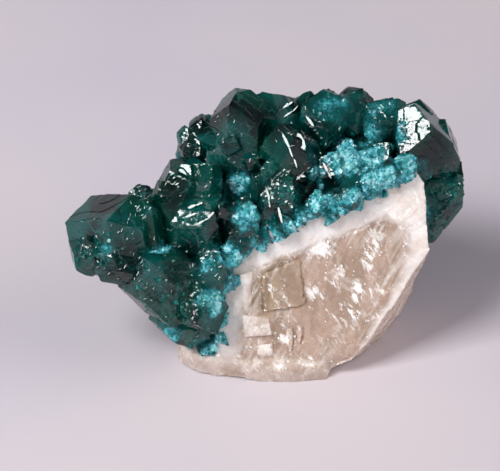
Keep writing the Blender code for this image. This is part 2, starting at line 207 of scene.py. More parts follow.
# Crystal tips that are broken off blunt: right and up as seen, and how much is gone. A break reaches only so
# far round its tip, and its face leans a little.
BLUNT_TIPS = (
    (-2.4, 30.6, 0.7),
    (1.1, 30.2, 0.5),
    (4.2, 30.4, 0.5),
    (6.6, 30.5, 0.6),
    (9.2, 30.8, 0.7),
    (12.3, 29.7, 0.5),
    (15.6, 29.1, 0.5),
)
BLUNT_REACH = 2.6
BLUNT_LEAN = 0.35

# Bright faces that are rippled across: right and up as seen, radius, strength.
RIPPLED_ZONES = (
    (15.3, 26.0, 3.4, 1.0),
    (-7.4, 17.0, 2.4, 0.8),
)
RIPPLE_WIDTH = 0.75
RIPPLE_HEIGHT = 0.018

# Thin bright lamellae on the crystals: both ends, right and up as seen, and the width.
LAMELLAE = (
    ((1.8, 25.2), (3.3, 21.9), 0.28),
    ((3.5, 25.1), (5.1, 21.2), 0.62),
    ((4.2, 27.2), (4.9, 26.3), 0.28),
    ((1.9, 28.2), (3.9, 28.9), 0.22),
    ((2.0, 27.3), (3.4, 28.2), 0.18),
    ((0.1, 19.7), (0.5, 17.9), 0.22),
    ((1.2, 17.9), (1.6, 16.5), 0.26),
    ((-1.0, 18.0), (-0.5, 16.4), 0.16),
    ((-7.0, 16.2), (-5.6, 16.9), 0.22),
    ((-7.9, 17.9), (-6.4, 18.3), 0.30),
    ((-8.3, 16.9), (-7.2, 17.2), 0.25),
    ((5.9, 22.4), (6.7, 20.9), 0.25),
    ((9.6, 28.4), (10.1, 29.5), 0.25),
    ((-15.4, 16.1), (-13.4, 16.9), 0.14),
)
# A lamella is a chain of plates of about this length, which overlap by a share of it.
LAMELLA_LENGTH = 1.5
LAMELLA_OVERLAP = 0.2
LAMELLA_DEPTH = 1.0
LAMELLA_PROUD = 0.08
LAMELLA_LEAN = 0.01

# Every plate's top looks this way, and so mirrors the key light to the camera. A wide plate stands prouder,
# by a share of its width. The places under a plate are looked up at the ends of so many steps.
BRIGHT_WAY = (-0.29, 0.23, 0.93)
WIDTH_PROUD = 0.15
PLATE_STEPS = 4
PLATE_TAPER = 0.96
PLATE_SEED = 3

# Small plates at random places. The region as seen is left, low, right, high, the steepness of their long
# way is in degrees, and proud is how far they stand out.
Scatter = namedtuple("Scatter", "seed count region steepness lengths widths proud")
SPARKS = Scatter(
    seed=11, count=220, region=(-21.5, 4.0, 8.0, 29.0), steepness=60,
    lengths=(0.2, 0.9), widths=(0.04, 0.11), proud=0.03,
)
FLAKES = Scatter(
    seed=12, count=100, region=(-3.0, 0.5, 15.0, 17.5), steepness=120,
    lengths=(0.1, 0.5), widths=(0.08, 0.30), proud=0.02,
)
STEEPNESS_SPREAD = 25
CROWD_SIZE = 2.5
SPARK_DEPTH = 0.3
SPARK_LEAN = 0.06

# Blender's noise vectors differ from run to run unless they get a seed.
NOISE_SEED = 1

# What lies further back than this has turquoise patches of its own, at random places.
BEHIND = -3.0
BEHIND_FADE = 3.0
PATCH_SIZE = 5.0

# How far the turquoise zones' edges wander, and how wide and strong the turquoise beside the calcite is.
ZONE_WANDER = 1.3
WANDER_SIZE = 1.8
CONTACT_BAND = 2.2
CONTACT_SHARE = 0.55

# Low terraces on clean faces, tilted facets and grain on crushed ones, and worn edges.
TERRACE_HEIGHT = 0.05
TERRACE_WIDTH = 3.0
FACET_SIZE = 0.9
FACET_TILT = 0.55
GRAIN_SIZE = 0.5
GRAIN_HEIGHT = 0.05
WEAR_ROUNDS = 2
WEAR_SHARE = 0.7

# Tiny crystals. The girth runs from the axis to a side, and the length and the sunken part are in girths.
DRUSE_SEED = 5
DRUSE_COUNT = 6500
DRUSE_KINDS = 12
DRUSE_GIRTH = (0.07, 0.30)
DRUSE_LENGTH = (1.2, 2.0)
DRUSE_SINK = 0.95
DRUSE_LEAN = 0.45
DRUSE_SHADE = (0.4, 1.4)
DRUSE_ON_CRUSHED = 0.2
DRUSE_ELSEWHERE = 0.004
END_FACE_POLAR = math.radians(51)

# Colours of the dioptase, from its clear depths to its crushed places.
# The darkest green is painted shade, laid on in the dark zones.
SHADE_GREEN = (0.0002, 0.012, 0.011)
DEEP_GREEN = (0.0003, 0.026, 0.024)
CLEAR_GREEN = (0.004, 0.26, 0.235)
EMERALD = (0.001, 0.17, 0.11)
MOTTLE_GREEN = (0.010, 0.36, 0.32)
VEIL_GREEN = (0.03, 0.34, 0.33)
CRACK_GREEN = (0.12, 0.50, 0.48)
TEAL = (0.015, 0.20, 0.22)
TURQUOISE = (0.10, 0.53, 0.63)
# The pale turquoise is partly the crust's own pale grains, partly painted highlight.
PALE_TURQUOISE_HIGHLIGHT = (0.48, 0.92, 0.97)
DIOPTASE_IOR = 1.67
ABSORPTION_COLOUR = (0.035, 0.65, 0.62, 1)
ABSORPTION_DENSITY = 700

# Colours of the calcite.
RIM_COLOURS = ((0.89, 0.84, 0.82), (0.78, 0.69, 0.63))
WINDOW_COLOURS = ((0.50, 0.36, 0.285), (0.38, 0.27, 0.20))
# The tan colours are the corner's own, and they also paint shade into the filled pocket.
TAN_COLOURS = ((0.29, 0.205, 0.130), (0.42, 0.31, 0.215))
BLOCK_COLOURS = ((0.62, 0.52, 0.46), (0.92, 0.86, 0.82))
# The foot's colour is partly its own beige, partly painted shade.
SHADED_FOOT_COLOUR = (0.44, 0.32, 0.26)
SHADED_SIDE_COLOUR = (0.55, 0.42, 0.34)
MIST_COLOUR = (0.90, 0.84, 0.79)
FLECK_COLOUR = (0.97, 0.94, 0.91)
LINE_COLOUR = (0.94, 0.89, 0.86)
FLAKE_GLINT_WHITE = (0.98, 0.95, 0.92)
STAIN_COLOUR = (0.10, 0.50, 0.50)
CALCITE_IOR = 1.55

FLOOR_SIZE = 2000.0
FLOOR_COLOURS = ((0.60, 0.56, 0.64), (0.66, 0.60, 0.64))

# The lights face a point this high above the table's middle.
AIM_HEIGHT = 12
KEY_WAY = (-0.54, -0.35, 0.77)

# The room is brighter near the horizon than overhead.
WORLD_COLOUR = (0.80, 0.77, 0.84)
WORLD_FADE = (("From Min", 0.1), ("From Max", 0.6), ("To Min", 0.55), ("To Max", 0.08))


def seen(right, up, out):
    """A place or a direction as it is seen, in the frame's axes."""
    sine, cosine = math.sin(VIEW_TILT), math.cos(VIEW_TILT)
    return Vector((right, up * sine - out * cosine, up * cosine + out * sine))


def foot_origin():
    """The middle of the foot's front edge, in the frame's axes."""
    low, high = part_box(CALCITE)
    return Vector((high.x / MM - CALCITE_RIGHT_END, low.y / MM, 0))


# Meshes


def fine_object(node, cell):
    """A copy of a node in millimetres, made of faces about one cell wide that keep the node's edges."""
    form = bmesh.new()
    form.from_mesh(node.data)
    bmesh.ops.remove_doubles(form, verts=form.verts[:], dist=1e-7)
    bmesh.ops.scale(form, vec=(1 / MM,) * 3, verts=form.verts[:])
    mesh = bpy.data.meshes.new("fine")
    form.to_mesh(mesh)
    form.free()
    made = bpy.data.objects.new("fine", mesh)
    bpy.context.scene.collection.objects.link(made)
    bpy.context.view_layer.update()
    remesh = made.modifiers.new("Remesh", "REMESH")
    remesh.mode = "SHARP"
    remesh.octree_depth = REMESH_DEPTH
    remesh.scale = max(made.dimensions) / (2**remesh.octree_depth * cell)
    remesh.use_remove_disconnected = True
    graph = bpy.context.evaluated_depsgraph_get()
    made.data = bpy.data.meshes.new_from_object(made.evaluated_get(graph))
    made.modifiers.clear()
    return made


def read_points(mesh):
    points = np.empty(len(mesh.vertices) * 3)
    mesh.vertices.foreach_get("co", points)
    return points.reshape(-1, 3)


def read_normals(mesh):
    normals = np.empty(len(mesh.vertices) * 3)
    mesh.vertices.foreach_get("normal", normals)
    return normals.reshape(-1, 3)


def write_points(mesh, points):
    mesh.vertices.foreach_set("co", points.ravel())
    mesh.update()


def neighbour_mean(mesh, points):
    """The mean place of each vertex's neighbours."""
    ends = np.empty(len(mesh.edges) * 2, int)
    mesh.edges.foreach_get("vertices", ends)
    ends = ends.reshape(-1, 2)
    total = np.zeros_like(points)
    np.add.at(total, ends[:, 0], points[ends[:, 1]])
    np.add.at(total, ends[:, 1], points[ends[:, 0]])
    count = np.bincount(ends.ravel(), minlength=len(points))
    return total / np.maximum(count, 1)[:, None]


def noise_at(points, size, shift=0.0):
    """Smooth noise from -1 to 1 with features of about a size. Each shift gives a pattern of its own."""
    moved = Vector((shift, shift, shift))
    return np.array([noise.noise(Vector(point) / size + moved) for point in points])


def facets_at(points, size):
    """Heights of a surface that is broken into flat facets of the given size, each tilted its own way."""
    heights = np.empty(len(points))
    for index, point in enumerate(points):
        place = Vector(point) / size
        centre = noise.voronoi(place)[1][0]
        heights[index] = noise.noise_vector(centre * 7.3).dot(place - centre) * size
    return heights


def write_value(mesh, name, values):
    attribute = mesh.attributes.new(name, "FLOAT", "POINT")
    attribute.data.foreach_set("value", values.astype(np.float32))


def search_tree(mesh):
    return BVHTree.FromPolygons(
        [vertex.co.copy() for vertex in mesh.vertices], [tuple(face.vertices) for face in mesh.polygons]
    )


def meet(tree, origin, right, up):
    """The point of a surface that is seen at (right, up), and the number of its face, or None twice."""
    hit, _, number, _ = tree.ray_cast(origin + seen(right, up, SIGHT_START), -seen(0, 0, 1))
    return hit, number


def zone_mask(points, tree, origin, zones):
    """How far inside the zones each point is, from 0 to 1. A zone is a ball round a place of the surface."""
    mask = np.zeros(len(points))
    for right, up, radius, strength in zones:
        hit, _ = meet(tree, origin, right, up)
        if hit is None:
            continue
        distance = np.linalg.norm(points - np.array(hit), axis=1)
        mask = np.maximum(mask, strength * np.clip(1.5 - 1.5 * distance / radius, 0, 1))
    return mask


def out_of_view(points, origin):
    """1 for what lies well behind the front, 0 for what is near the camera."""
    out = (points - np.array(origin)) @ np.array(seen(0, 0, 1))
    return np.clip((BEHIND - out) / BEHIND_FADE, 0, 1)


def finish_piece(thing, node, material):
    """Turns a piece into metres, gives it its material, and lets it stand for its node, if any."""
    thing.data.transform(Matrix.Scale(MM, 4))
    thing.data.materials.clear()
    thing.data.materials.append(material)
    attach(thing, "root")
    if node:
        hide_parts(node)


# Dioptase


def break_tips(points, tree, origin):
    """Flattens the crystal tips that are broken off."""
    for number, (right, up, loss) in enumerate(BLUNT_TIPS):
        hit, _ = meet(tree, origin, right, up - loss)
        if hit is None:
            continue
        tip = np.array(hit)
        lean_right = BLUNT_LEAN * math.sin(number * 2.4)
        lean_out = BLUNT_LEAN * math.cos(number * 1.7)
        way = np.array(seen(lean_right, 1, lean_out).normalized())
        past = (points - tip) @ way
        near = np.linalg.norm(points - tip, axis=1) < BLUNT_REACH
        points -= np.where(near, np.maximum(past, 0), 0)[:, None] * way


def dress_dioptase(frame, origin, calcite_tree):
    """The dioptase with worn edges, terraces and crushed zones, drawn onto the calcite where it is near."""
    made = fine_object(frame["nodes"][DIOPTASE], DIOPTASE_CELL)
    made.name = "dioptase_surface"
    mesh = made.data
    points = read_points(mesh)
    tree = search_tree(mesh)

    behind = out_of_view(points, origin)
    patches = np.clip(noise_at(points, PATCH_SIZE, 3.7) * 3.0 - 0.3, 0, 1) * behind
    ragged = noise_at(points, 1.1, 9.1)
    near = [calcite_tree.find_nearest(Vector(point), CONTACT_BAND)[3] for point in points]
    contact = np.array([0 if distance is None else 1 - distance / CONTACT_BAND for distance in near])
    contact = np.minimum(contact * 2, 1) * CONTACT_SHARE
    moves = np.array([noise.noise_vector(Vector(point) / WANDER_SIZE) for point in points])
    wandering = points + moves * ZONE_WANDER
    turquoise = np.maximum(zone_mask(wandering, tree, origin, TURQUOISE_ZONES), patches)
    turquoise = np.maximum(turquoise, contact)
    uneven = 0.3 * ragged + 0.4 * noise_at(points, 2.6, 4.2)
    turquoise = np.clip(turquoise + uneven * np.clip(turquoise * 3, 0, 1), 0, 1)
    crushed = np.maximum(zone_mask(points, tree, origin, CRUSHED_ZONES), turquoise)
    crushed = np.clip(crushed * (1 + 0.5 * ragged), 0, 1)

    break_tips(points, tree, origin)
    wear = np.clip(noise_at(points, 1.6, 5.3) * 2.0 + 0.35, 0, 1)[:, None]
    for _ in range(WEAR_ROUNDS):
        points += (neighbour_mean(mesh, points) - points) * wear * WEAR_SHARE
    write_points(mesh, points)

    normals = read_normals(mesh)
    terraces = np.floor(noise_at(points, TERRACE_WIDTH * 2, 1.9) * 5) * TERRACE_HEIGHT * (1 - crushed)
    heights = terraces + facets_at(points, FACET_SIZE) * FACET_TILT * crushed
    heights += noise_at(points, GRAIN_SIZE) * GRAIN_HEIGHT * (0.05 + crushed)
    rippled = zone_mask(points, tree, origin, RIPPLED_ZONES)
    up = points @ np.array(seen(0, 1, 0)) + noise_at(points, 2.0, 6.1) * 0.8
    heights += np.sin(up * 2 * math.pi / RIPPLE_WIDTH) * RIPPLE_HEIGHT * rippled
    points += normals * heights[:, None]

    crust = zone_mask(points, tree, origin, CRUST_ZONES)
    for index, point in enumerate(points):
        place, _, _, distance = calcite_tree.find_nearest(Vector(point))
        toward = np.array(place) - point
        if distance < CONTACT_REACH:
            points[index] += toward * (distance + CONTACT_SINK) / max(distance, 1e-6)
        else:
            points[index] += toward * crust[index] * CRUST_SQUEEZE
    write_points(mesh, points)
    write_value(mesh, "turquoise", turquoise)
    write_value(mesh, "crushed", crushed)
    write_value(mesh, "clean", 1 - 0.5 * turquoise)
    # The dark attribute tells the material where shade is painted as a darker green.
    write_value(mesh, "dark", zone_mask(wandering, tree, origin, SHADE_ZONES))
    mesh.shade_flat()
    return made


def plain_prism():
    """A six-sided prism, 1 from its axis to a side and 1 long, with its foot at 0."""
    form = bmesh.new()
    corner_radius = 1 / math.cos(math.pi / 6)
    bmesh.ops.create_cone(
        form, cap_ends=True, segments=6, radius1=corner_radius, radius2=corner_radius, depth=1.0,
        matrix=Matrix.Translation((0, 0, 0.5)) @ Matrix.Rotation(math.pi / 6, 4, "Z"),
    )
    return form


def druse_crystal(rng, length):
    """Corners and faces of a tiny crystal with a three-faced end, 1 from its axis to a side."""
    form = plain_prism()
    bmesh.ops.scale(form, vec=(1, 1, length), verts=form.verts[:])
    peak = Vector((0, 0, length))
    for third in range(3):
        around = math.radians(120 * third)
        level = Vector((math.cos(around), math.sin(around), 0))
        normal = level * math.sin(END_FACE_POLAR) + Vector((0, 0, math.cos(END_FACE_POLAR)))
        everything = form.verts[:] + form.edges[:] + form.faces[:]
        cut = bmesh.ops.bisect_plane(
            form, geom=everything, plane_co=peak - Vector((0, 0, rng.uniform(0, 0.1))), plane_no=normal,
            clear_outer=True, dist=1e-6,
        )
        rim = [item for item in cut["geom_cut"] if isinstance(item, bmesh.types.BMEdge)]
        if rim:
            bmesh.ops.contextual_create(form, geom=rim)
    bmesh.ops.recalc_face_normals(form, faces=form.faces[:])
    form.verts.index_update()
    corners = np.array([vertex.co[:] for vertex in form.verts])
    faces = [[vertex.index for vertex in face.verts] for face in form.faces]
    form.free()
    return corners, faces


def mostly_small(rng, limits):
    """A random number between two limits, mostly near the lower one."""
    return rng.triangular(limits[0], limits[1], limits[0])


def in_steps(strokes):
    """Long strokes as chains of short ones, which can follow a face that isn't flat to them."""
    chain = []
    for start, end, width in strokes:
        start, end = Vector(start), Vector(end)
        count = math.ceil((end - start).length / LAMELLA_LENGTH)
        step = (end - start) / count
        for number in range(count):
            first = start + step * (number - LAMELLA_OVERLAP)
            last = first + step * (1 + 2 * LAMELLA_OVERLAP)
            chain.append((first, last, width * (0.8 + 0.3 * math.cos(number * 2.1))))
    return chain


def scattered(host, origin, kind, attribute):
    """Strokes at random places of a host, as ends and a width, mostly where an attribute is high."""
    rng = random.Random(kind.seed)
    left, low, far_right, high = kind.region
    mesh = host.data
    tree = search_tree(mesh)
    share = mesh.attributes[attribute].data
    strokes = []
    while len(strokes) < kind.count:
        right = rng.uniform(left, far_right)
        up = rng.uniform(low, high)
        hit, number = meet(tree, origin, right, up)
        crowd = noise.noise(Vector((right, up, kind.seed)) / CROWD_SIZE) + 0.5
        if hit is None or rng.random() > share[mesh.polygons[number].vertices[0]].value * crowd:
            continue
        angle = math.radians(rng.gauss(kind.steepness, STEEPNESS_SPREAD))
        length = mostly_small(rng, kind.lengths)
        end = (right + math.cos(angle) * length, up + math.sin(angle) * length)
        strokes.append(((right, up), end, mostly_small(rng, kind.widths)))
    return strokes


def add_plates(name, host, origin, strokes, sides, depth, proud, lean):
    """Thin plates on a host's surface, one for each stroke, whose tops look the way that catches the light.

    A plate's top is level with the second highest place under it. A plate whose depth doesn't reach down to
    the lowest place is left out, and so is one that reaches past the host's outline.
    """
    tree = search_tree(host.data)
    rng = random.Random(PLATE_SEED)
    form = bmesh.new()
    for start, end, width in strokes:
        turn = Vector([rng.gauss(0, lean) for _ in range(3)])
        bright = (seen(*BRIGHT_WAY).normalized() + turn).normalized()
        places = [Vector(start).lerp(Vector(end), step / PLATE_STEPS) for step in range(PLATE_STEPS + 1)]
        hits = [meet(tree, origin, *place)[0] for place in places]
        if None in hits:
            continue
        heights = sorted(hit.dot(bright) for hit in hits)
        top = heights[-2]
        if top - heights[0] > depth - proud:
            continue
        along = hits[-1] - hits[0]
        along -= bright * along.dot(bright)
        across = bright.cross(along).normalized()
        plate = bmesh.ops.create_cone(
            form, cap_ends=True, segments=sides, radius1=1.0, radius2=PLATE_TAPER, depth=1.0,
        )["verts"]
        middle = (hits[0] + hits[-1]) / 2
        middle += bright * (top + proud + width * WIDTH_PROUD - depth / 2 - middle.dot(bright))
        shape = Matrix((along / 2, across * width / 2, bright * depth)).transposed().to_4x4()
        bmesh.ops.transform(form, matrix=Matrix.Translation(middle) @ shape, verts=plate)
    bmesh.ops.recalc_face_normals(form, faces=form.faces[:])
    mesh = bpy.data.meshes.new(name)
    form.to_mesh(mesh)
    form.free()
    made = bpy.data.objects.new(name, mesh)
    bpy.context.scene.collection.objects.link(made)
    return made


def grow_druse(host):
    """Tiny crystals on the crushed and turquoise parts of the dioptase."""
    rng = random.Random(DRUSE_SEED)
    mesh = host.data
    kinds = [druse_crystal(rng, rng.uniform(*DRUSE_LENGTH)) for _ in range(DRUSE_KINDS)]
    turquoise = np.empty(len(mesh.vertices), np.float32)
    mesh.attributes["turquoise"].data.foreach_get("value", turquoise)
    crushed = np.empty(len(mesh.vertices), np.float32)
    mesh.attributes["crushed"].data.foreach_get("value", crushed)
    crowding = turquoise**2 + DRUSE_ON_CRUSHED * crushed + DRUSE_ELSEWHERE
    weights = [face.area * crowding[face.vertices[0]] for face in mesh.polygons]
    chosen = rng.choices(range(len(mesh.polygons)), weights, k=DRUSE_COUNT)
    points, faces, values = [], [], []
    for number in chosen:
        face = mesh.polygons[number]
        girth = mostly_small(rng, DRUSE_GIRTH)
        axis = (face.normal + Vector([rng.gauss(0, DRUSE_LEAN) for _ in range(3)])).normalized()
        turn = axis.to_track_quat("Z", "Y").to_matrix() @ Matrix.Rotation(rng.uniform(0, 2.1), 3, "Z")
        corners, sides = rng.choice(kinds)
        place = np.array(face.center - axis * girth * DRUSE_SINK)
        faces += [[len(values) + corner for corner in side] for side in sides]
        points.append(corners @ np.array(turn.transposed()) * girth + place)
        shade = turquoise[face.vertices[0]] * rng.uniform(*DRUSE_SHADE)
        values += [min(shade, 1.0)] * len(corners)
    made_mesh = bpy.data.meshes.new("dioptase_druse")
    made_mesh.from_pydata(np.concatenate(points).tolist(), [], faces)
    write_value(made_mesh, "turquoise", np.array(values))
    write_value(made_mesh, "crushed", np.ones(len(values)))
    made = bpy.data.objects.new("dioptase_druse", made_mesh)
    bpy.context.scene.collection.objects.link(made)
    return made


# Calcite


def on_front(point):
    """The point of the calcite's front face that is seen at (right, up), from the foot's front edge."""
    sight = seen(0, 0, 1)
    start = seen(point[0], point[1], 0)
    return start - sight * ((start - FRONT_FOOT).dot(FRONT_NORMAL) / sight.dot(FRONT_NORMAL))


def inside_outline(local, outline):
    """How far each point is inside an outline on the front face, in millimetres, and below 0 outside it."""
    corners = [on_front(corner) for corner in outline]
    middle = sum(corners, Vector()) / len(corners)
    inside = np.full(len(local), np.inf)
    for start, end in zip(corners, corners[1:] + corners[:1]):
        inward = (end - start).cross(FRONT_NORMAL).normalized()
        if inward.dot(middle - start) < 0:
            inward.negate()
        inside = np.minimum(inside, (local - np.array(start)) @ np.array(inward))
    return inside


def dress_calcite(frame, origin):
    """The calcite with low cleavage steps, a smoother window, filled pocket and grooves, and a soft foot.

    Its attributes tell the material where the rim, the window, the tan corner, the pocket's painted shade
    and the rest are.
    """
    made = fine_object(frame["nodes"][CALCITE], CALCITE_CELL)
    made.name = "calcite_surface"
    mesh = made.data
    points = read_points(mesh)
    local = points - np.array(origin)
    depth = -(local - np.array(FRONT_FOOT)) @ np.array(FRONT_NORMAL)
    ragged = noise_at(points, 1.2, 2.2)

    inside = inside_outline(local, WINDOW) + ragged * 0.5
    on_face = np.clip(1.6 - depth, 0, 1)
    window = np.clip(inside / 0.8 + 0.5, 0, 1) * on_face
    # The pocket is darkened by its depth before it is filled up. This is painted shade of the recess, joined
    # below with the tan corner's own colour.
    pocket = np.clip((depth - 0.35) / 0.2 + ragged * 0.6, 0, 1) * (depth > 0.15) * window
    right = local @ np.array(seen(1, 0, 0))
    up = local @ np.array(seen(0, 1, 0))
    tan = np.clip((TAN_RIGHT - right) / 1.4, 0, 1) * np.clip((up - TAN_LOW) / 0.2, 0, 1) * window
    pocket = np.maximum(pocket * 0.45, tan)
    blocks = np.clip((-depth - 0.15) / 0.15, 0, 1) * window
    foot = np.clip((FOOT_HEIGHT - points[:, 2]) / 1.2, 0, 1)

    soft_foot = foot * np.clip(points[:, 2] / 0.4, 0, 1)
    soft = np.maximum(soft_foot, 0.5 * np.clip(depth / 0.1, 0, 1) * window)
    for _ in range(CALCITE_WEAR_ROUNDS):
        points += (neighbour_mean(mesh, points) - points) * CALCITE_WEAR_SHARE
    for _ in range(SOFT_ROUNDS):
        points += (neighbour_mean(mesh, points) - points) * soft[:, None]
    write_points(mesh, points)
    normals = read_normals(mesh)
    # Side marks faces turned away from the front towards the right, where the material paints shade and
    # lines.
    turned_away = np.clip((0.75 - normals @ np.array(FRONT_NORMAL)) / 0.2, 0, 1)
    side = turned_away * np.clip(normals[:, 0] / 0.3, 0, 1)
    steps = np.floor(noise_at(points, 4.0, 4.4) * 4) * CALCITE_STEP
    grain = noise_at(points, 0.7, 8.8) * 0.05 + noise_at(points, 0.35, 6.6) * 0.03
    heights = (steps + grain) * (1 - 0.6 * window) + noise_at(points, 2.2, 7.7) * 0.2 * foot
    too_deep = np.clip(depth - DEEPEST_GROOVE, 0, 1) * (window > 0.5)
    points += normals * heights[:, None] + too_deep[:, None] * np.array(FRONT_NORMAL)
    points[:, 2] = np.maximum(points[:, 2], 0)
    write_points(mesh, points)
    tree = search_tree(mesh)
    stain = zone_mask(points, tree, origin, STAIN_ZONES)
    write_value(mesh, "window", window)
    write_value(mesh, "white", zone_mask(points, tree, origin, WHITE_ZONES))
    write_value(mesh, "pocket", pocket)
    write_value(mesh, "blocks", blocks)
    write_value(mesh, "foot", foot)
    write_value(mesh, "side", side)
    write_value(mesh, "lines", np.clip(1.2 - abs(inside - 0.8) / 1.4, 0, 1) * on_face)
    write_value(mesh, "stain", np.clip(stain * (1 + ragged), 0, 1))
    mesh.shade_flat()
    return made


# Materials


class Surface:
    """A material whose nodes are made by short calls."""

    def __init__(self, name):
        self.material = bpy.data.materials.new(name)
        self.material.use_nodes = True
        self.tree = self.material.node_tree
        self.shader = self.tree.nodes["Principled BSDF"]
        coordinates = self.add("ShaderNodeTexCoord")
        scaled = self.add("ShaderNodeVectorMath", operation="SCALE")
        self.link(coordinates.outputs["Object"], scaled.inputs[0])
        scaled.inputs["Scale"].default_value = 1 / MM
        self.millimetres = scaled.outputs["Vector"]

    def add(self, kind, **settings):
        node = self.tree.nodes.new(kind)
        for name, value in settings.items():
            setattr(node, name, value)
        return node

    def link(self, source, target):
        self.tree.links.new(source, target)

    def put(self, target, value):
        if isinstance(value, bpy.types.NodeSocket):
            self.link(value, target)
        elif isinstance(value, tuple) and len(value) == 3 and len(target.default_value) == 4:
            target.default_value = (*value, 1.0)
        else:
            target.default_value = value

    def set(self, **values):
        for name, value in values.items():
            self.put(self.shader.inputs[name.replace("_", " ")], value)

    def value(self, name):
        return self.add("ShaderNodeAttribute", attribute_name=name).outputs["Fac"]

    def noise(self, size, detail=3.0, roughness=0.55, distortion=0.0, vector=None):
        node = self.add("ShaderNodeTexNoise")
        self.put(node.inputs["Vector"], vector or self.millimetres)
        node.inputs["Scale"].default_value = 1 / size
        node.inputs["Detail"].default_value = detail
        node.inputs["Roughness"].default_value = roughness
        node.inputs["Distortion"].default_value = distortion
        return node.outputs["Fac"]

    def cells(self, size, output, vector=None, feature="F1"):
        node = self.add("ShaderNodeTexVoronoi", feature=feature)
        self.put(node.inputs["Vector"], vector or self.millimetres)
        node.inputs["Scale"].default_value = 1 / size
        return node.outputs[output]

    def stretched(self, lengths, turn=(0, 0, 0)):
        """Coordinates that make what follows longer along each of the turned axes by these numbers."""
        node = self.add("ShaderNodeMapping", vector_type="TEXTURE")
        self.link(self.millimetres, node.inputs["Vector"])
        node.inputs["Scale"].default_value = lengths
        node.inputs["Rotation"].default_value = turn
        return node.outputs["Vector"]

    def bent(self, size, amount):
        """Coordinates moved about by noise of a size, by up to about half the amount."""
        node = self.add("ShaderNodeTexNoise")
        self.link(self.millimetres, node.inputs["Vector"])
        node.inputs["Scale"].default_value = 1 / size
        moved = self.add("ShaderNodeVectorMath", operation="MULTIPLY_ADD")
        self.link(node.outputs["Color"], moved.inputs[0])
        moved.inputs[1].default_value = (amount,) * 3
        self.link(self.millimetres, moved.inputs[2])
        return moved.outputs["Vector"]

    def ramp(self, value, low, high, start=0.0, end=1.0):
        node = self.add("ShaderNodeMapRange", interpolation_type="SMOOTHSTEP")
        for name, number in (("From Min", low), ("From Max", high), ("To Min", start), ("To Max", end)):
            self.put(node.inputs[name], number)
        self.put(node.inputs["Value"], value)
        return node.outputs["Result"]

    def maths(self, operation, a, b=0.0):
        node = self.add("ShaderNodeMath", operation=operation)
        self.put(node.inputs[0], a)
        self.put(node.inputs[1], b)
        return node.outputs["Value"]

    def mix(self, share, a, b):
        node = self.add("ShaderNodeMix", data_type="RGBA")
        self.put(node.inputs["Factor"], share)
        self.put(node.inputs[6], a)
        self.put(node.inputs[7], b)
        return node.outputs[2]

    def bump(self, height, strength, distance):
        node = self.add("ShaderNodeBump")
        node.inputs["Strength"].default_value = strength
        node.inputs["Distance"].default_value = distance * MM
        self.link(height, node.inputs["Height"])
        return node.outputs["Normal"]

    def glitter(self, normal, size, amount):
        """Tilts the normal by a random amount in each cell."""
        colour = self.cells(size, "Color")
        centred = self.add("ShaderNodeVectorMath", operation="SUBTRACT")
        self.link(colour, centred.inputs[0])
        centred.inputs[1].default_value = (0.5, 0.5, 0.5)
        scaled = self.add("ShaderNodeVectorMath", operation="SCALE")
        self.link(centred.outputs["Vector"], scaled.inputs[0])
        self.put(scaled.inputs["Scale"], amount)
        joined = self.add("ShaderNodeVectorMath", operation="ADD")
        self.link(normal, joined.inputs[0])
        self.link(scaled.outputs["Vector"], joined.inputs[1])
        unit = self.add("ShaderNodeVectorMath", operation="NORMALIZE")
        self.link(joined.outputs["Vector"], unit.inputs[0])
        return unit.outputs["Vector"]


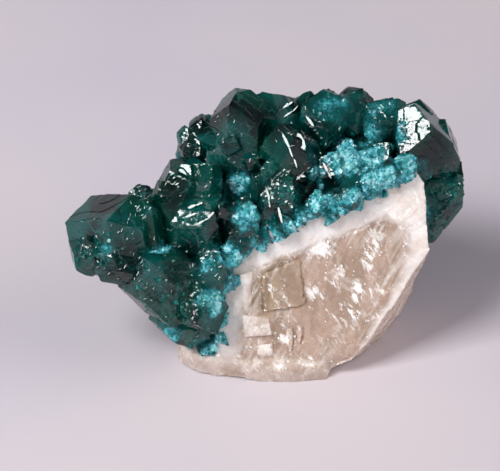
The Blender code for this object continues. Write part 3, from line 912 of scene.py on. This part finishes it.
def dioptase_material(name, clear, with_depth):
    """Deep green crystal, turquoise where it is crushed. Clear is how much light passes the clean parts.

    With depth, light is also absorbed on its way through, which needs a closed solid.
    """
    surface = Surface(name)
    turquoise = surface.value("turquoise")
    crushed = surface.value("crushed")
    cloud = surface.noise(4.5, 2.5, 0.55, 0.4)
    green = surface.mix(surface.ramp(cloud, 0.36, 0.68), DEEP_GREEN, CLEAR_GREEN)
    speckle = surface.ramp(surface.noise(0.5, 3.0, 0.6), 0.3, 0.7, 0.6, 1.3)
    tone = surface.maths("MULTIPLY", turquoise, speckle)
    body = surface.mix(surface.ramp(tone, 0.0, 0.35), green, TEAL)
    body = surface.mix(surface.ramp(tone, 0.3, 0.7), body, TURQUOISE)
    # The strongest turquoise goes pale: partly the crust's own pale grains, partly painted highlight.
    body = surface.mix(surface.ramp(tone, 0.64, 1.0), body, PALE_TURQUOISE_HIGHLIGHT)
    emerald = surface.ramp(surface.noise(6.0, 1.0, 0.5, 0.3), 0.50, 0.66, 0.0, 0.6)
    emerald = surface.maths("MULTIPLY", emerald, surface.ramp(tone, 0.0, 0.3, 1.0, 0.0))
    body = surface.mix(emerald, body, EMERALD)
    # Painted shade: the dark zones turn the body towards the darkest green, less so where it is turquoise.
    painted_shade = surface.maths("MULTIPLY", surface.value("dark"), surface.ramp(tone, 0.1, 0.5, 1.0, 0.0))
    body = surface.mix(painted_shade, body, SHADE_GREEN)
    mottle = surface.ramp(surface.noise(0.9, 4.0, 0.7, 0.8), 0.46, 0.66, 0.0, 0.8)
    body = surface.mix(surface.maths("MULTIPLY", mottle, crushed), body, MOTTLE_GREEN)
    veil = surface.noise(1.0, 4.0, 0.7, 1.5, surface.stretched((1.0, 0.35, 2.0), (0.4, 0.3, 0.6)))
    body = surface.mix(surface.ramp(veil, 0.60, 0.76, 0.0, 0.4), body, VEIL_GREEN)
    bent = surface.bent(0.9, 1.1)
    cracks = surface.ramp(surface.cells(2.4, "Distance", bent, "DISTANCE_TO_EDGE"), 0.0, 0.05, 1.0, 0.0)
    cracked = surface.maths("MULTIPLY", cracks, surface.ramp(surface.noise(3.1, 2.0), 0.48, 0.60, 0.0, 0.55))
    body = surface.mix(cracked, body, CRACK_GREEN)
    roughness = surface.ramp(surface.noise(1.4), 0.35, 0.7, 0.06, 0.16)
    roughness = surface.maths("ADD", roughness, surface.maths("MULTIPLY", crushed, 0.12))
    through = surface.ramp(tone, 0.1, 0.8, clear, clear * 0.3)
    steps = surface.noise(0.8, 2.0, 0.5, 0.4, surface.stretched((2.8, 0.4, 0.7), (0.2, 0.5, 0.3)))
    normal = surface.bump(surface.maths("SNAP", steps, 0.12), 0.2, 0.04)
    normal = surface.glitter(normal, 0.6, surface.ramp(crushed, 0.1, 0.8, 0.01, 0.6))
    surface.set(
        Base_Color=body, Roughness=roughness, IOR=DIOPTASE_IOR, Specular_IOR_Level=0.12,
        Transmission_Weight=through, Normal=normal,
    )
    if with_depth:
        output = surface.tree.nodes["Material Output"]
        absorption = surface.add("ShaderNodeVolumeAbsorption")
        absorption.inputs["Color"].default_value = ABSORPTION_COLOUR
        absorption.inputs["Density"].default_value = ABSORPTION_DENSITY
        surface.link(absorption.outputs["Volume"], output.inputs["Volume"])
    return surface.material


def calcite_material(name, flaky):
    """Milky calcite: a frosted rim round a beige window with flecks. Flaky is how white all of it is, which
    on the flakes is partly their own white and partly painted glint.
    """
    surface = Surface(name)
    cloud = surface.noise(2.6, 4.0, 0.6, 0.4)
    bands = surface.noise(1.3, 2.0, 0.5, 0.0, surface.stretched((1.0, 1.0, 9.0)))
    rim = surface.mix(surface.ramp(cloud, 0.35, 0.7), *RIM_COLOURS)
    beige = surface.mix(surface.ramp(bands, 0.35, 0.65), *WINDOW_COLOURS)
    upright = surface.noise(1.1, 1.0, 0.5, 0.0, surface.stretched((1.0, 1.0, 30.0)))
    tan = surface.mix(surface.ramp(upright, 0.42, 0.56), *TAN_COLOURS)
    # Pocket carries the tan corner's own colour and painted shade in the filled pocket.
    beige = surface.mix(surface.maths("MULTIPLY", surface.value("pocket"), 0.85), beige, tan)
    frost = surface.noise(0.9, 4.0, 0.6, 0.5)
    frosted = surface.mix(surface.ramp(frost, 0.42, 0.58), *BLOCK_COLOURS)
    beige = surface.mix(surface.maths("MULTIPLY", surface.value("blocks"), 0.7), beige, frosted)
    body = surface.mix(surface.value("window"), rim, beige)
    # The foot is darker towards the bottom: partly its own beige, partly painted shade on the upright foot.
    low = surface.maths("MULTIPLY", surface.value("foot"), surface.ramp(cloud, 0.35, 0.6, 1.0, 0.6))
    body = surface.mix(low, body, SHADED_FOOT_COLOUR)
    # The faces turned to the right get a darker beige: partly their own beige, partly painted shade.
    body = surface.mix(surface.value("side"), body, SHADED_SIDE_COLOUR)

    mist = surface.noise(3.4, 5.0, 0.75, 0.8)
    body = surface.mix(surface.ramp(mist, 0.52, 0.70, 0.0, 0.5), body, MIST_COLOUR)
    slanted = surface.stretched((0.7, 1.0, 2.4), (0.0, -0.6, 0.0))
    crowd = surface.ramp(surface.noise(3.0, 2.0), 0.45, 0.60, 0.0, 0.9)
    clouds = surface.maths("MULTIPLY", surface.value("white"), 0.13)
    fleck = surface.maths("ADD", surface.noise(0.9, 5.0, 0.8, 0.3, slanted), clouds)
    crowd = surface.maths("ADD", crowd, surface.value("white"))
    flecks = surface.maths("MULTIPLY", surface.ramp(fleck, 0.54, 0.63), crowd)
    body = surface.mix(flecks, body, FLECK_COLOUR)
    along_edge = surface.stretched((0.35, 1.0, 8.0), (0.0, LOWER_EDGE_TURN, 0.0))
    lines = surface.ramp(surface.noise(1.5, 3.0, 0.6, 0.1, along_edge), 0.46, 0.66, 0.0, 0.4)
    edges = surface.maths("MAXIMUM", surface.value("lines"), surface.value("side"))
    body = surface.mix(surface.maths("MULTIPLY", lines, edges), body, LINE_COLOUR)
    # Painted glint: the flakes are whitened all over, beside their own white.
    body = surface.mix(flaky, body, FLAKE_GLINT_WHITE)
    stained = surface.maths("MULTIPLY", surface.value("stain"), surface.ramp(surface.noise(0.4), 0.35, 0.6))
    body = surface.mix(stained, body, STAIN_COLOUR)

    roughness = surface.ramp(surface.noise(0.8), 0.3, 0.7, 0.18, 0.40)
    layers = surface.noise(0.5, 3.0, 0.6, 0.0, surface.stretched((2.5, 1.0, 0.5), (0.0, 0.5, 0.0)))
    normal = surface.glitter(surface.bump(layers, 0.4, 0.08), 0.45, 0.25)
    surface.set(
        Base_Color=body, Roughness=roughness, IOR=CALCITE_IOR, Subsurface_Weight=0.4,
        Subsurface_Radius=(1.0, 0.8, 0.65), Subsurface_Scale=1.5 * MM, Normal=normal,
    )
    return surface.material


def floor_material():
    surface = Surface("floor_paper")
    tone = surface.noise(60.0, 2.0)
    surface.set(Base_Color=surface.mix(surface.ramp(tone, 0.35, 0.65), *FLOOR_COLOURS), Roughness=0.6)
    return surface.material


# Stage


def make_floor():
    mesh = bpy.data.meshes.new("floor")
    form = bmesh.new()
    bmesh.ops.create_grid(form, x_segments=1, y_segments=1, size=FLOOR_SIZE * MM / 2)
    form.to_mesh(mesh)
    form.free()
    floor = bpy.data.objects.new("floor", mesh)
    bpy.context.scene.collection.objects.link(floor)
    floor.data.materials.append(floor_material())


def make_camera(origin):
    data = bpy.data.cameras.new("camera")
    data.sensor_width = SENSOR_WIDTH
    data.lens = SENSOR_WIDTH * VIEW_DISTANCE / VIEW_WIDTH
    data.clip_start = 0.01
    camera = bpy.data.objects.new("camera", data)
    bpy.context.scene.collection.objects.link(camera)
    target = origin + seen(*VIEW_TARGET, 0)
    camera.location = (target + seen(0, 0, VIEW_DISTANCE)) * MM
    camera.rotation_euler = seen(0, 0, 1).to_track_quat("Z", "Y").to_euler()
    bpy.context.scene.camera = camera


def area_light(name, direction, distance, size, power, colour=(1, 1, 1), mirrored=True, lights=True):
    """A square light that faces the specimen. It may be mirrored in it, light it, or both."""
    data = bpy.data.lights.new(name, "AREA")
    data.size = size * MM
    data.energy = power
    data.color = colour
    light = bpy.data.objects.new(name, data)
    light.visible_glossy = mirrored
    light.visible_diffuse = lights
    light.visible_transmission = lights
    bpy.context.scene.collection.objects.link(light)
    away = Vector(direction).normalized()
    light.location = Vector((0, 0, AIM_HEIGHT * MM)) + away * distance * MM
    light.rotation_euler = away.to_track_quat("Z", "Y").to_euler()


def light_the_stage():
    area_light("key", KEY_WAY, distance=500, size=215, power=2.4)
    area_light("glint", KEY_WAY, distance=495, size=215, power=0.5, lights=False)
    area_light(
        "fill", (1.0, -0.1, 0.45), distance=700, size=600, power=2.8,
        colour=(1.0, 0.94, 0.92), mirrored=False,
    )
    area_light("front", (-0.5, -1.0, 0.35), distance=700, size=600, power=1.3, mirrored=False)
    world = bpy.data.worlds.new("studio")
    bpy.context.scene.world = world
    world.use_nodes = True
    tree = world.node_tree
    coordinates = tree.nodes.new("ShaderNodeTexCoord")
    axes = tree.nodes.new("ShaderNodeSeparateXYZ")
    tree.links.new(coordinates.outputs["Generated"], axes.inputs[0])
    depth = tree.nodes.new("ShaderNodeMapRange")
    depth.interpolation_type = "SMOOTHSTEP"
    for name, number in WORLD_FADE:
        depth.inputs[name].default_value = number
    tree.links.new(axes.outputs["Z"], depth.inputs["Value"])
    background = tree.nodes["Background"]
    background.inputs["Color"].default_value = (*WORLD_COLOUR, 1)
    tree.links.new(depth.outputs["Result"], background.inputs["Strength"])
    bpy.context.scene.view_settings.view_transform = "Standard"


def main():
    noise.seed_set(NOISE_SEED)
    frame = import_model()
    origin = foot_origin()
    calcite = dress_calcite(frame, origin)
    dioptase = dress_dioptase(frame, origin, search_tree(calcite.data))
    druse = grow_druse(dioptase)
    lamellae = add_plates(
        "dioptase_lamellae", dioptase, origin, in_steps(LAMELLAE),
        sides=8, depth=LAMELLA_DEPTH, proud=LAMELLA_PROUD, lean=LAMELLA_LEAN,
    )
    sparkles = add_plates(
        "dioptase_sparkles", dioptase, origin, scattered(dioptase, origin, SPARKS, "clean"),
        sides=5, depth=SPARK_DEPTH, proud=SPARKS.proud, lean=SPARK_LEAN,
    )
    flakes = add_plates(
        "calcite_flakes", calcite, origin, scattered(calcite, origin, FLAKES, "window"),
        sides=4, depth=SPARK_DEPTH, proud=FLAKES.proud, lean=SPARK_LEAN,
    )
    finish_piece(calcite, CALCITE, calcite_material("calcite_milky", 0.0))
    # The flakes' material is whitened, partly as painted glint.
    finish_piece(flakes, None, calcite_material("calcite_flaky", 0.7))
    finish_piece(dioptase, DIOPTASE, dioptase_material("dioptase_clear", 0.75, True))
    finish_piece(druse, None, dioptase_material("dioptase_grains", 0.4, False))
    plates = dioptase_material("dioptase_plates", 0.6, False)
    finish_piece(lamellae, None, plates)
    finish_piece(sparkles, None, plates)
    make_floor()
    make_camera(origin)
    light_the_stage()


main()
